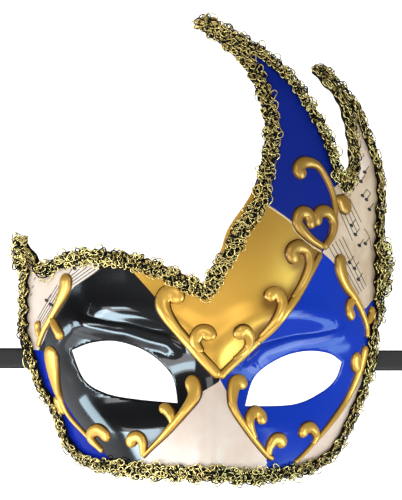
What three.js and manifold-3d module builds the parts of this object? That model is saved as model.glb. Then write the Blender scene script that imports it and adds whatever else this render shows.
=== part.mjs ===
// A carnival half mask, lying face up as it would on a table. A moulded shell with a tall and a
// short horn on one side carries a scalloped braid round its edge, raised gold scrollwork on its
// face and a ribbon tie at each temple.
// Millimetres. +X is to the right as the face is looked at, +Y to the forehead, +Z out of the face.
import * as THREE from "three";
import { mergeVertices } from "three/addons/utils/BufferGeometryUtils.js";
import Module from "manifold-3d";

const wasm = await Module();
wasm.setup();

// Driving dimensions
const WALL = 2;
const SEAT_GAP = 0.35;
const FLOOR_GAP = 0.25;
const BRAID = {
  width: 9.3, height: 1.7, dip: 0.75, shoulder: 0.9, pitch: 8.8, scallop: 1.1, overhang: 1.5,
};
const BRAID_TIP = { width: 2.6, spread: 0.36 };
const BRAID_STEPS = 3;
const SCROLL = { rise: 0.42, lowest: 1.1, tallest: 2.2, flatTop: 0.5, blunt: 0.12, step: 6, endSteps: 4 };
const RIBBON = { width: 9.6, thickness: 1 };
const GRID = { columns: 34, lowRow: 6, highRow: 9.4, change: -16, overrun: 1.05, crowding: 0.3 };

// Cross-sections of the face, a row for each height: where the left and the right side come down
// to the table, and how high the middle stands.
const SECTIONS = [
  { y: -115, left: -57, right: 60, crown: 56 },
  { y: -90, left: -66, right: 69.5, crown: 60 },
  { y: -72, left: -72.8, right: 76.2, crown: 61 },
  { y: -52, left: -83, right: 83.2, crown: 61.5 },
  { y: -5, left: -83.8, right: 84.4, crown: 62 },
  { y: 35, left: -85, right: 84.2, crown: 57 },
  { y: 68, left: -80, right: 77, crown: 50 },
  { y: 86, left: -74, right: 67, crown: 45 },
  { y: 115, left: -60, right: 50, crown: 37 },
];
const SIDE = { reach: 0.93, roundness: 2.2, fullness: 0.6, least: 0.01 };

const SOCKET = { halfWidth: 37, halfHeight: 27, depth: 5, flat: 0.35 };
const BROW_RIDGE = { height: 2.6, ring: 1.08, width: 0.24, from: -0.1, full: 0.7 };
const SOCKETS = [
  { x: -35.5, y: -57 },
  { x: 42.5, y: -57.5 },
];
const NOSE = { x: 3.5, top: -38, bottom: -98, height: 15, halfWidth: 10, flare: 7 };

// Where the braid lies in from the shell's edge, on the tall horn's inner side, and where it stands
// out past it, on the cheeks: how far, and between which heights it comes in and fades again.
const HORN_INSET = { depth: 2.3, from: -8, full: 4, fading: 24, gone: 34, leftEnd: 6, rightEnd: 9 };
const CHEEK_OUTSET = { left: 3.2, right: 1.6, from: -52, full: -66, fading: -92, gone: -102 };

// Where the braid is narrower: along the tall horn's outer side, up to where it widens again by the
// notch, and between these heights by the short horn's outer side.
const NARROW_HORN = { share: 0.68, widens: 15 };
const NARROW_RIM = { share: 0.6, from: 14, full: 26, fading: 66, gone: 76 };

// The shell's edge from the front, as x and y, in stretches that meet at the corners and run
// clockwise from the left ear. Where an edge runs past a section's foot, the table cuts it flat.
const EDGE = {
  brow: [[-83.2, 4.6], [-78.2, -1.2], [-73, -6.6], [-66.5, -3.8], [-57, -0.6], [-44, -0.4],
    [-28, -3], [-13, -8.6], [1.6, -15.6]],
  hornInside: [[1.6, -15.6], [8.7, -0.5], [12.4, 10], [23.6, 27.6], [29, 50], [27.3, 67],
    [20, 83.4], [8.8, 94.6], [-2, 103]],
  hornOutside: [[-2, 103], [1.6, 107], [11, 102.2], [29.8, 90.4], [43.4, 77.4], [52.2, 63.8],
    [59, 50.8], [63.4, 38.3], [66.3, 33.4]],
  hornlet: [[66.3, 33.4], [68.5, 41], [67.4, 54.5], [63.2, 69.3], [56.4, 77.4], [51.8, 83]],
  rightSide: [[51.8, 83], [55.9, 84.9], [63, 78.2], [71.8, 67], [78.3, 51], [83.5, 38.5],
    [87, 24], [87.5, 0], [87.5, -16], [84.8, -28], [81, -38], [80, -50]],
  chin: [[76.6, -63], [70.4, -77.3], [64.6, -89.2], [57, -98], [44.6, -103.6], [24, -106],
    [6, -103.6], [-14, -103.7], [-33.6, -103], [-50, -99.8], [-59, -92.6]],
  leftSide: [[-63.2, -85.6], [-66.6, -75.6], [-74.4, -63], [-78.6, -53.5], [-81.8, -44],
    [-87.5, -34], [-89, -18], [-89, -4], [-86.5, 2.2], [-83.2, 4.6]],
};

// Each eye hole as its upper and its lower lid, from corner to corner.
const EYE_HOLES = [
  {
    upper: [[-59.7, -46.3], [-50, -42.6], [-38, -41.9], [-24, -46.9], [-13.4, -57], [-10.6, -69.5]],
    lower: [[-10.6, -69.5], [-30, -68.2], [-44, -65.8], [-54, -59.8], [-59.7, -46.3]],
  },
  {
    upper: [[20, -71], [24.5, -57.8], [36, -49.5], [48, -46.5], [59, -47.8], [65.4, -52.1]],
    lower: [[65.4, -52.1], [62.3, -60.2], [55, -66.2], [42, -71], [20, -71]],
  },
];

// The scrollwork, a row for each stroke: the points that it sweeps through, and its width at the
// root, half way and at the rounded tip.
const SCROLLS = {
  scroll_temple_left: [
    { path: [[-62, -11.5], [-62, -17.7], [-66.3, -26.1], [-72.7, -36.9], [-76, -45]],
      root: 4.3, waist: 2.6, tip: 2 },
    { path: [[-69.4, -31], [-66.9, -36.6], [-64.6, -40.3]], root: 2.2, waist: 3, tip: 4.1 },
    { path: [[-74.8, -41.8], [-75.6, -37.5], [-75.6, -33.6]], root: 1.9, waist: 2.2, tip: 2.6 },
  ],
  scroll_cheek_left: [
    { path: [[-70, -47], [-69.6, -53], [-66.8, -65], [-61.8, -76.4], [-52.6, -86], [-50.4, -88]],
      root: 5.5, waist: 2.6, tip: 2.2 },
    { path: [[-67.4, -62.4], [-66.6, -68.4], [-65.2, -72.8]], root: 2.2, waist: 3.1, tip: 3.6 },
    { path: [[-45, -93], [-51, -86.6], [-50.8, -82.8], [-47.2, -81.2], [-43.8, -83.4],
      [-43, -86.6]], root: 2.2, waist: 2.9, tip: 4.3 },
  ],
  scroll_nose_left: [
    { path: [[-26.6, -94.4], [-15.2, -82.2], [-6.5, -71.6], [-2.8, -65.4], [-4, -59.6],
      [-6.6, -57.8], [-7.6, -61]], root: 2.2, waist: 2.9, tip: 4.3 },
    { path: [[-12.9, -78.6], [-12.5, -72.8], [-15.2, -70.6], [-17.6, -73.2]],
      root: 2.2, waist: 2.4, tip: 3.8 },
    { path: [[-24.8, -93.2], [-25.2, -86.6], [-28, -83.9], [-31.2, -86], [-30, -89.6]],
      root: 2.2, waist: 2.6, tip: 4.1 },
  ],
  scroll_nose_right: [
    { path: [[18.4, -62.6], [18.2, -59], [15.2, -60], [13.8, -66], [14.6, -72], [21.1, -81.8],
      [29.3, -92.6], [33, -95.4]], root: 4.6, waist: 2.6, tip: 2.2 },
    { path: [[24.6, -86], [22.2, -80], [21.6, -75], [24.8, -72.6], [27.6, -75], [26.8, -78.6]],
      root: 2.2, waist: 2.6, tip: 4.1 },
    { path: [[29.6, -93.6], [30.4, -89], [33, -85.6], [36.4, -86], [36.4, -89.6]],
      root: 2.2, waist: 2.6, tip: 4.3 },
  ],
  scroll_cheek_right: [
    { path: [[42.8, -97.8], [48.4, -92.9], [59.8, -80.5], [68.2, -69], [73.8, -56],
      [76.6, -44.6]], root: 2.2, waist: 2.6, tip: 2.6 },
    { path: [[51.4, -90], [53.6, -84.8], [50.6, -80.6], [46.8, -82], [46.6, -86]],
      root: 2.2, waist: 2.8, tip: 4.3 },
    { path: [[73.2, -57.6], [71.6, -53.4], [71.4, -48.8]], root: 2.4, waist: 4.8, tip: 3.4 },
  ],
  scroll_temple_right: [
    { path: [[64.4, -2.6], [63.9, -8.1], [66.9, -16], [70.8, -21.6], [74.3, -27.7], [77.2, -35.3],
      [77.6, -41]], root: 4.8, waist: 2.6, tip: 2.2 },
    { path: [[72.2, -22.8], [68.8, -25], [68.8, -28.8], [70.6, -30.8]],
      root: 2.2, waist: 2.9, tip: 3.4 },
    { path: [[77, -34.4], [79.4, -30.6], [79.8, -27]], root: 2, waist: 2.4, tip: 2.6 },
  ],
  scroll_heart: [
    { path: [[56.3, 1.2], [49.2, 5.9], [44, 12], [45.2, 17], [48.8, 17.2], [50.4, 13.8],
      [49.4, 10.4]], root: 2.6, waist: 3.6, tip: 3.8 },
    { path: [[56.1, 0.8], [60.1, 6.7], [61, 13.1], [58.2, 17.6], [54.4, 17.6], [53, 14.6],
      [54.8, 12.4]], root: 2.6, waist: 3.1, tip: 3.6 },
    { path: [[61.2, 11.6], [61.8, 19.2], [59.8, 28.8], [54, 38.6], [46.8, 41.4], [43.6, 38.2],
      [46.4, 35.2]], root: 2.9, waist: 2.6, tip: 5 },
    { path: [[62, 24.2], [66, 21.2], [68.4, 17.8]], root: 2.9, waist: 4.8, tip: 3.4 },
  ],
  scroll_bridge: [
    { path: [[55, -1.6], [49.7, -10.8], [42.6, -22.1], [33, -34.8], [25.2, -41.4]],
      root: 2.2, waist: 2.4, tip: 2.4 },
    { path: [[47.6, -13.6], [49.7, -6.4], [48.2, 0], [44, 2.2], [41, -0.6], [43.4, -5]],
      root: 2.2, waist: 2.9, tip: 4.8 },
    { path: [[33.4, -33.6], [36.6, -25.6], [35.2, -19.4], [31.4, -19], [31.2, -23]],
      root: 2.2, waist: 2.9, tip: 4.8 },
    { path: [[8.4, -57.2], [-3.8, -44.1], [-14.3, -31.4], [-18.6, -23], [-16.2, -18.8],
      [-12.6, -20], [-12.4, -23]], root: 2.4, waist: 2.8, tip: 5.8 },
    { path: [[-5.6, -42.2], [-4, -37.2], [0, -34.8], [4, -36.8], [3, -40.6]],
      root: 2.2, waist: 3.4, tip: 4.8 },
    { path: [[8, -57.6], [13.4, -51.5], [26.4, -40.4]], root: 2.4, waist: 2.6, tip: 2.4 },
    { path: [[19.4, -45.8], [20.6, -39.4], [17.8, -37], [16.4, -40.4]],
      root: 2.2, waist: 2.9, tip: 4.6 },
  ],
};

// The ties leave the inner wall at the temples, pass under the edge and lie out along the table.
// A row for each point of the route, from the glued end to the free end: how far out it is, its
// height on the left and on the right tie, and how much the ribbon rises across its width.
const RIBBON_ROUTE = [
  { out: 67.2, left: 23.6, right: 21.6, lean: 0.42 },
  { out: 68.5, left: 21.5, right: 20.1, lean: 0.43 },
  { out: 70.5, left: 18.5, right: 17.7, lean: 0.43 },
  { out: 72.2, left: 15.6, right: 15.3, lean: 0.44 },
  { out: 73.8, left: 12.7, right: 12.7, lean: 0.45 },
  { out: 75.2, left: 10, right: 10.2, lean: 0.45 },
  { out: 76.4, left: 7.4, right: 7.8, lean: 0.46 },
  { out: 77.5, left: 5, right: 5.4, lean: 0.44 },
  { out: 78.6, left: 3, right: 3.3, lean: 0.27 },
  { out: 79.9, left: 1.5, right: 1.6, lean: 0.1 },
  { out: 81.6, left: 0.9, right: 0.95, lean: 0.03 },
  { out: 84, left: 0.8, right: 0.8, lean: 0.01 },
  { out: 88, left: 0.8, right: 0.8, lean: 0 },
  { out: 94, left: 0.8, right: 0.8, lean: 0 },
  { out: 100, left: 0.8, right: 0.8, lean: 0 },
  { out: 107, left: 0.8, right: 0.8, lean: 0 },
  { out: 114.5, left: 0.8, right: 0.8, lean: 0 },
];
const RIBBONS = [
  { name: "ribbon_left", height: "left", side: -1, y: -51.1 },
  { name: "ribbon_right", height: "right", side: 1, y: -52.2 },
];

const COLOURS = {
  shell: { color: 0x14213d, roughness: 0.15, metalness: 0 },
  braid: { color: 0xb9a85a, roughness: 0.5, metalness: 0.7 },
  scroll: { color: 0xd9a63a, roughness: 0.35, metalness: 0.8 },
  ribbon: { color: 0x19161a, roughness: 0.4, metalness: 0 },
};

// Solids

function toSolid(geometry) {
  geometry.deleteAttribute("normal");
  geometry.deleteAttribute("uv");
  const merged = mergeVertices(geometry, 1e-5);
  const vertProperties = new Float32Array(merged.attributes.position.array);
  const triVerts = new Uint32Array(merged.index.array);
  return new wasm.Manifold(new wasm.Mesh({ numProp: 3, vertProperties, triVerts }));
}

function toGeometry(solid) {
  const mesh = solid.getMesh();
  const geometry = new THREE.BufferGeometry();
  geometry.setAttribute("position", new THREE.BufferAttribute(mesh.vertProperties, 3));
  geometry.setIndex(new THREE.BufferAttribute(mesh.triVerts, 1));
  geometry.computeVertexNormals();
  return geometry;
}

function joined(solids) {
  return solids.reduce((whole, solid) => whole.add(solid));
}

function indexed(points, index) {
  const geometry = new THREE.BufferGeometry().setFromPoints(points);
  geometry.setIndex(index);
  return geometry;
}

// A closed body through a row of sections that all have the same number of corners.
function loft(sections) {
  const corners = sections[0].length;
  const last = (sections.length - 1) * corners;
  const index = [];
  for (let row = 0; row < last; row += corners) {
    for (let corner = 0; corner < corners; corner++) {
      const here = row + corner;
      const next = row + ((corner + 1) % corners);
      index.push(here, next + corners, next, here, here + corners, next + corners);
    }
  }
  for (let corner = 1; corner + 1 < corners; corner++) {
    index.push(0, corner, corner + 1);
    index.push(last, last + corner + 1, last + corner);
  }
  return toSolid(indexed(sections.flat(), index));
}

// The moulded face

function ease(from, to, value) {
  const t = THREE.MathUtils.clamp((value - from) / (to - from), 0, 1);
  return t * t * (3 - 2 * t);
}

// One column of the section table at any height, as a smooth curve through its rows.
function sectionAt(column, y) {
  const row = (i) => SECTIONS[THREE.MathUtils.clamp(i, 0, SECTIONS.length - 1)];
  const slope = (i) => (row(i + 1)[column] - row(i - 1)[column]) / (row(i + 1).y - row(i - 1).y);
  const height = THREE.MathUtils.clamp(y, row(0).y, row(SECTIONS.length).y);
  const found = SECTIONS.findIndex((section) => section.y >= height);
  const i = Math.max(found - 1, 0);
  const span = row(i + 1).y - row(i).y;
  const t = (height - row(i).y) / span;
  const value = (2 * t ** 3 - 3 * t ** 2 + 1) * row(i)[column]
    + (3 * t ** 2 - 2 * t ** 3) * row(i + 1)[column];
  const lean = (t ** 3 - 2 * t ** 2 + t) * slope(i) + (t ** 3 - t ** 2) * slope(i + 1);
  return value + lean * span;
}

function sideCurve(share) {
  const fall = 1 - (SIDE.reach * share) ** SIDE.roundness;
  return Math.max(fall, SIDE.least) ** SIDE.fullness;
}

function socketHeight(x, y, socket) {
  const across = (x - socket.x) / SOCKET.halfWidth;
  const along = (y - socket.y) / SOCKET.halfHeight;
  const ring = Math.hypot(across, along);
  const upper = ease(BROW_RIDGE.from, BROW_RIDGE.full, along / Math.max(ring, 1e-6));
  const ridge = Math.exp(-(((ring - BROW_RIDGE.ring) / BROW_RIDGE.width) ** 2));
  return BROW_RIDGE.height * upper * ridge - SOCKET.depth * (1 - ease(SOCKET.flat, 1, ring));
}

function noseHeight(x, y) {
  const grown = ease(NOSE.top, NOSE.bottom, y);
  const across = (x - NOSE.x) / (NOSE.halfWidth + NOSE.flare * grown);
  return NOSE.height * grown * Math.exp(-(across ** 2));
}

function faceHeight(x, y) {
  const foot = sectionAt(x < 0 ? "left" : "right", y);
  const side = (sideCurve(x / foot) - sideCurve(1)) / (1 - sideCurve(1));
  const sockets = SOCKETS.reduce((sum, socket) => sum + socketHeight(x, y, socket), 0);
  return sectionAt("crown", y) * side + sockets + noseHeight(x, y);
}

function facePoint(x, y) {
  return new THREE.Vector3(x, y, faceHeight(x, y));
}

function faceNormal(x, y) {
  const step = 0.05;
  const alongX = faceHeight(x + step, y) - faceHeight(x - step, y);
  const alongY = faceHeight(x, y + step) - faceHeight(x, y - step);
  return new THREE.Vector3(-alongX, -alongY, 2 * step).normalize();
}

// A point that stands off the face by the given distance.
function onFace(x, y, lift) {
  return facePoint(x, y).addScaledVector(faceNormal(x, y), lift);
}

// The shell

function curveThrough(points) {
  return new THREE.SplineCurve(points.map(([x, y]) => new THREE.Vector2(x, y)));
}

function lowerEdge() {
  return [...EDGE.rightSide, ...EDGE.chin, ...EDGE.leftSide];
}

// A straight-sided block over an outline whose stretches are smooth curves.
function outlineBlock(stretches, perPoint) {
  const points = stretches.flatMap((stretch) => {
    const curve = curveThrough(stretch);
    return curve.getPoints((stretch.length - 1) * perPoint).slice(1);
  });
  const depth = 2 * Math.max(...SECTIONS.map((section) => section.crown));
  return toSolid(new THREE.ExtrudeGeometry(new THREE.Shape(points), { depth, bevelEnabled: false }));
}

function gridHeights() {
  const heights = [];
  const [first, last] = [SECTIONS[0].y, SECTIONS[SECTIONS.length - 1].y];
  for (let y = first; y < last; y += y < GRID.change ? GRID.lowRow : GRID.highRow) {
    heights.push(y);
  }
  return [...heights, last];
}

// The whole curved sheet before its edge and eye holes are cut.
function faceSheet() {
  const columns = GRID.columns + 1;
  const heights = gridHeights();
  const outer = [];
  const inner = [];
  for (const y of heights) {
    for (let column = 0; column < columns; column++) {
      const t = (2 * column) / GRID.columns - 1;
      const share = GRID.overrun * ((1 + GRID.crowding) * t - GRID.crowding * t ** 3);
      const x = Math.abs(share) * sectionAt(share < 0 ? "left" : "right", y);
      outer.push(onFace(x, y, 0));
      inner.push(onFace(x, y, -WALL));
    }
  }
  const below = outer.length;
  const index = [];
  const quad = (a, b, c, d) => index.push(a, b, c, a, c, d);
  for (let row = 0; row + 1 < heights.length; row++) {
    for (let column = 0; column + 1 < columns; column++) {
      const here = row * columns + column;
      const above = here + columns;
      quad(here, here + 1, above + 1, above);
      quad(below + here, below + above, below + above + 1, below + here + 1);
    }
  }
  const top = (heights.length - 1) * columns;
  for (let column = 0; column + 1 < columns; column++) {
    quad(column, below + column, below + column + 1, column + 1);
    quad(top + column + 1, below + top + column + 1, below + top + column, top + column);
  }
  for (let row = 0; row < top; row += columns) {
    const end = row + columns - 1;
    quad(row + columns, below + row + columns, below + row, row);
    quad(end, below + end, below + end + columns, end + columns);
  }
  return toSolid(indexed([...outer, ...inner], index));
}

function shellSolid() {
  const upper = [EDGE.brow, EDGE.hornInside, EDGE.hornOutside, EDGE.hornlet];
  const face = faceSheet().intersect(outlineBlock([...upper, lowerEdge()], 3));
  const holes = EYE_HOLES.map((hole) => outlineBlock([hole.upper, hole.lower], 4));
  return face.subtract(joined(holes));
}

// The braid

// Walks over the face from an edge point, so that a band keeps its real width where it is steep.
function walkIn(start, inward, distance) {
  const strides = 4;
  const spot = start.clone();
  for (let stride = 0; stride < strides; stride++) {
    const normal = faceNormal(spot.x, spot.y);
    const slope = (normal.x * inward.x + normal.y * inward.y) / normal.z;
    spot.addScaledVector(inward, distance / strides / Math.hypot(1, slope));
  }
  return spot;
}

// Keeps an edge point on the part of the face that is above the table.
function clampToFoot(point) {
  const left = sectionAt("left", point.y);
  const right = sectionAt("right", point.y);
  return new THREE.Vector2(THREE.MathUtils.clamp(point.x, left, right), point.y);
}

function braidSection(start, inward, width, inset, swell, grow) {
  const outer = inset - BRAID.overhang - swell - grow;
  const inner = inset - BRAID.overhang + width + swell + grow;
  const middle = (outer + inner) / 2;
  const low = SEAT_GAP - grow;
  const fullness = BRAID.dip + ((1 - BRAID.dip) * swell) / BRAID.scallop;
  const high = SEAT_GAP + BRAID.height * fullness + grow;
  const corners = [
    [outer, low],
    [middle, low],
    [inner, low],
    [inner - BRAID.shoulder, high],
    [outer + BRAID.shoulder, high],
  ];
  return corners.map(([across, lift]) => {
    const spot = walkIn(start, inward, across);
    return onFace(spot.x, spot.y, lift);
  });
}

function fullWidth() {
  return 1;
}

function hornWidth(point, toEnd) {
  return 1 - (1 - NARROW_HORN.share) * ease(0, NARROW_HORN.widens, toEnd);
}

function rimWidth(point) {
  return 1 - (1 - NARROW_RIM.share) * insetShare(NARROW_RIM, point.y);
}

// Stations along one stretch: edge point, inward direction, distance to the nearer horn tip and the
// braid's full width there.
function braidStations(stretch, tipAtStart, tipAtEnd, shareAt = fullWidth) {
  const curve = curveThrough(stretch);
  const length = curve.getLength();
  const steps = Math.round(length / BRAID.pitch) * BRAID_STEPS;
  return Array.from({ length: steps + 1 }, (_, step) => {
    const share = step / steps;
    const tangent = curve.getTangentAt(share);
    const fromStart = tipAtStart ? share * length : length;
    const fromEnd = tipAtEnd ? (1 - share) * length : length;
    const point = curve.getPointAt(share);
    return {
      point: clampToFoot(point),
      inward: new THREE.Vector2(tangent.y, -tangent.x),
      fromTip: Math.min(fromStart, fromEnd),
      width: BRAID.width * shareAt(point, (1 - share) * length),
    };
  });
}

// Turns the band about a notch in the edge, between the stretches on its two sides.
function notchStations(before, after) {
  const steps = 4;
  const turn = after.inward.angle() - before.inward.angle();
  const short = THREE.MathUtils.euclideanModulo(turn + Math.PI, 2 * Math.PI) - Math.PI;
  return Array.from({ length: steps - 1 }, (_, step) => ({
    point: before.point,
    inward: before.inward.clone().rotateAround(new THREE.Vector2(), (short * (step + 1)) / steps),
    fromTip: before.fromTip,
    width: BRAID.width,
  }));
}

function braidBand(stations, grow, insetAt = () => 0) {
  const sections = stations.map((station, step) => {
    const swell = BRAID.scallop * Math.abs(Math.sin((Math.PI * step) / BRAID_STEPS));
    const width = Math.min(station.width, BRAID_TIP.width + BRAID_TIP.spread * station.fromTip);
    return braidSection(station.point, station.inward, width, insetAt(station.point), swell, grow);
  });
  return loft(sections);
}

function insetShare(range, y) {
  return ease(range.from, range.full, y) * (1 - ease(range.fading, range.gone, y));
}

function hornInset(point) {
  const onHorn = ease(HORN_INSET.leftEnd, HORN_INSET.rightEnd, point.x);
  return HORN_INSET.depth * onHorn * insetShare(HORN_INSET, point.y);
}

function cheekInset(point) {
  const outset = point.x < 0 ? CHEEK_OUTSET.left : CHEEK_OUTSET.right;
  return -outset * insetShare(CHEEK_OUTSET, point.y);
}

function aboveTable(solid) {
  const size = 400;
  const room = new THREE.BoxGeometry(size, size, size);
  room.translate(0, 0, size / 2 + FLOOR_GAP);
  return solid.intersect(toSolid(room));
}

function braidAcrossNotch(first, second, grow, insetAt) {
  const notch = notchStations(first.at(-1), second[0]);
  return braidBand([...first, ...notch, ...second], grow, insetAt);
}

// The whole braid, or the room that it needs when it is grown by a gap.
function edgeBraid(grow) {
  const brow = braidStations(EDGE.brow, true, false);
  const inside = braidStations(EDGE.hornInside, false, true);
  const outside = braidStations(EDGE.hornOutside, true, false, hornWidth);
  const hornlet = braidStations(EDGE.hornlet, false, true);
  const lower = braidStations(lowerEdge(), true, true, rimWidth);
  return aboveTable(joined([
    braidAcrossNotch(brow, inside, grow, hornInset),
    braidAcrossNotch(outside, hornlet, grow),
    braidBand(lower, grow, cheekInset),
  ]));
}

// The scrollwork

function strokeWidth(stroke, share) {
  const early = 2 * share * (stroke.waist - stroke.root) + stroke.root;
  const late = (2 * share - 1) * (stroke.tip - stroke.waist) + stroke.waist;
  return share < 0.5 ? early : late;
}

function strokeSolid(stroke) {
  const curve = curveThrough(stroke.path);
  const length = curve.getLength();
  const steps = Math.round(length / SCROLL.step) + SCROLL.endSteps;
  const sections = Array.from({ length: steps + 1 }, (_, step) => {
    const share = 0.5 - 0.5 * Math.cos((Math.PI * step) / steps);
    const spot = curve.getPointAt(share);
    const tangent = curve.getTangentAt(share);
    const full = strokeWidth(stroke, share);
    const toEnd = Math.min(share, 1 - share) * length;
    const roundness = Math.min(1, SCROLL.blunt + toEnd / (full / 2));
    const width = full * Math.sqrt(roundness * (2 - roundness));
    const rise = THREE.MathUtils.clamp(SCROLL.rise * full, SCROLL.lowest, SCROLL.tallest);
    const height = rise * Math.sqrt(roundness);
    const sideways = new THREE.Vector2(tangent.y, -tangent.x);
    const top = width * SCROLL.flatTop;
    const corners = [[-width / 2, 0], [width / 2, 0], [top / 2, height], [-top / 2, height]];
    return corners.map(([across, lift]) => {
      const place = walkIn(spot, sideways, across);
      return onFace(place.x, place.y, SEAT_GAP + lift);
    });
  });
  return loft(sections);
}

// The ribbons

function ribbonSolid({ side, y, height }) {
  const sections = RIBBON_ROUTE.map((row, step) => {
    const before = RIBBON_ROUTE[Math.max(step - 1, 0)];
    const after = RIBBON_ROUTE[Math.min(step + 1, RIBBON_ROUTE.length - 1)];
    const middle = new THREE.Vector3(side * row.out, y, row[height]);
    const along = new THREE.Vector3(side * (after.out - before.out), 0, after[height] - before[height]);
    const across = new THREE.Vector3(0, side, side * row.lean).normalize();
    const up = along.normalize().cross(across).normalize();
    const corners = [[-1, 1], [1, 1], [1, -1], [-1, -1]];
    return corners.map(([edge, face]) => middle.clone()
      .addScaledVector(across, (edge * RIBBON.width) / 2)
      .addScaledVector(up, (face * RIBBON.thickness) / 2));
  });
  return loft(sections);
}

// The assembly

function addPiece(group, name, solid, look) {
  const mesh = new THREE.Mesh(toGeometry(solid), new THREE.MeshStandardMaterial(look));
  mesh.name = name;
  group.add(mesh);
}

const mask = new THREE.Group();
mask.name = "carnival_mask";
addPiece(mask, "shell", shellSolid(), COLOURS.shell);

addPiece(mask, "edge_braid", edgeBraid(0), COLOURS.braid);

const braidRoom = edgeBraid(SEAT_GAP);
for (const [name, strokes] of Object.entries(SCROLLS)) {
  const solid = joined(strokes.map(strokeSolid)).subtract(braidRoom);
  addPiece(mask, name, solid, COLOURS.scroll);
}

for (const ribbon of RIBBONS) {
  addPiece(mask, ribbon.name, ribbonSolid(ribbon), COLOURS.ribbon);
}

export default mask;
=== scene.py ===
import math
from collections import namedtuple
from types import SimpleNamespace as Sizes

import bpy
import numpy as np
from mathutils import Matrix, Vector, kdtree
from mathutils.geometry import delaunay_2d_cdt


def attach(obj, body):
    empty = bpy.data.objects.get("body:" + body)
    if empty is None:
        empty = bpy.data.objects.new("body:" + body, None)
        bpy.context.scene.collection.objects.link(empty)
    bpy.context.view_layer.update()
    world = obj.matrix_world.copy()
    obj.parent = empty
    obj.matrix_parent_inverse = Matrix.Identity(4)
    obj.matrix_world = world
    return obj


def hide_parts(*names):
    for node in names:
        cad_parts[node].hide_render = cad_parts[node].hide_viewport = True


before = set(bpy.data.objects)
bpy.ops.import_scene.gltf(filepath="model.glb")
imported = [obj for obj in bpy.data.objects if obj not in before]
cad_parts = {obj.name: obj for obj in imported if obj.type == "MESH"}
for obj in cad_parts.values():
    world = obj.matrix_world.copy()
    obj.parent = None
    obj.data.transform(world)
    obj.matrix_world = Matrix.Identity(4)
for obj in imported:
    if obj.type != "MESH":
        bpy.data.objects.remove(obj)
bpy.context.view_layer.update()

MM = 0.001
BODY = "root"
# The shell's thickness, the least upward share of a normal for its depth, and the cords' gap to the table
WALL = 2
STEEPEST = 0.25
FLOOR_GAP = 0.25

# The moulded face, as the part has it
Section = namedtuple("Section", "y left right crown")
SECTIONS = [
    Section(-115, -57, 60, 56),
    Section(-90, -66, 69.5, 60),
    Section(-72, -72.8, 76.2, 61),
    Section(-52, -83, 83.2, 61.5),
    Section(-5, -83.8, 84.4, 62),
    Section(35, -85, 84.2, 57),
    Section(68, -80, 77, 50),
    Section(86, -74, 67, 45),
    Section(115, -60, 50, 37),
]
SIDE = Sizes(reach=0.93, roundness=2.2, fullness=0.6, least=0.01)
SOCKET = Sizes(half_width=37, half_height=27, depth=5, flat=0.35)
BROW_RIDGE = Sizes(height=2.6, ring=1.08, width=0.24, start=-0.1, full=0.7)
SOCKET_CENTRES = [(-35.5, -57), (42.5, -57.5)]
NOSE = Sizes(x=3.5, top=-38, bottom=-98, height=15, half_width=10, flare=7)

# The fold between the brow and the lid over each eye: how deep it is, how far it spreads up the brow
# and down the lid, how much the lid swells below it and over what width, and where its ends fade
CREASE = Sizes(depth=1.9, brow=5.6, lid=1.7, swell=1.1, lid_width=11, fade=13)
# The step of the fold's line, and how far to its right rows of points follow it
CREASE_STEP = 0.5
CREASE_ROWS = (-4.2, -3.1, -2.2, -1.4, -0.7, 0, 0.6, 1.2, 1.9, 2.7)
CREASES = [
    [(-62, -26), (-56.7, -27.3), (-51.4, -30), (-40.3, -32.1), (-33, -33), (-22.9, -35.6),
     (-13.8, -37.8), (-8.4, -41.9), (-4.8, -48.7)],
    [(17.5, -56.1), (19.8, -49.8), (25.2, -43.9), (31.7, -41.2), (42.7, -38.6), (53.9, -37.4),
     (63.4, -35.3), (69.2, -31.7)],
]

# The shell's edge from the front, clockwise from the left ear
EDGE = {
    "brow": [(-83.2, 4.6), (-78.2, -1.2), (-73, -6.6), (-66.5, -3.8), (-57, -0.6), (-44, -0.4),
             (-28, -3), (-13, -8.6), (1.6, -15.6)],
    "horn_inside": [(1.6, -15.6), (8.7, -0.5), (12.4, 10), (23.6, 27.6), (29, 50), (27.3, 67),
                    (20, 83.4), (8.8, 94.6), (-2, 103)],
    "horn_outside": [(-2, 103), (1.6, 107), (11, 102.2), (29.8, 90.4), (43.4, 77.4), (52.2, 63.8),
                     (59, 50.8), (63.4, 38.3), (66.3, 33.4)],
    "hornlet": [(66.3, 33.4), (68.5, 41), (67.4, 54.5), (63.2, 69.3), (56.4, 77.4), (51.8, 83)],
    "lower": [(51.8, 83), (55.9, 84.9), (63, 78.2), (71.8, 67), (78.3, 51), (83.5, 38.5), (87, 24),
              (87.5, 0), (87.5, -16), (84.8, -28), (81, -38), (80, -50), (76.6, -63), (70.4, -77.3),
              (64.6, -89.2), (57, -98), (44.6, -103.6), (24, -106), (6, -103.6), (-14, -103.7),
              (-33.6, -103), (-50, -99.8), (-59, -92.6), (-63.2, -85.6), (-66.6, -75.6),
              (-74.4, -63), (-78.6, -53.5), (-81.8, -44), (-87.5, -34), (-89, -18), (-89, -4),
              (-86.5, 2.2), (-83.2, 4.6)],
}
EYE_HOLES = [
    [[(-59.7, -46.3), (-50, -42.6), (-38, -41.9), (-24, -46.9), (-13.4, -57), (-10.6, -69.5)],
     [(-10.6, -69.5), (-30, -68.2), (-44, -65.8), (-54, -59.8), (-59.7, -46.3)]],
    [[(20, -71), (24.5, -57.8), (36, -49.5), (48, -46.5), (59, -47.8), (65.4, -52.1)],
     [(65.4, -52.1), (62.3, -60.2), (55, -66.2), (42, -71), (20, -71)]],
]
# The rounding of the holes' edges, and the shares of it at which rows of points follow them
HOLE_ROUNDING = 0.8
HOLE_ROWS = (0.2, 0.55)

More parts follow.
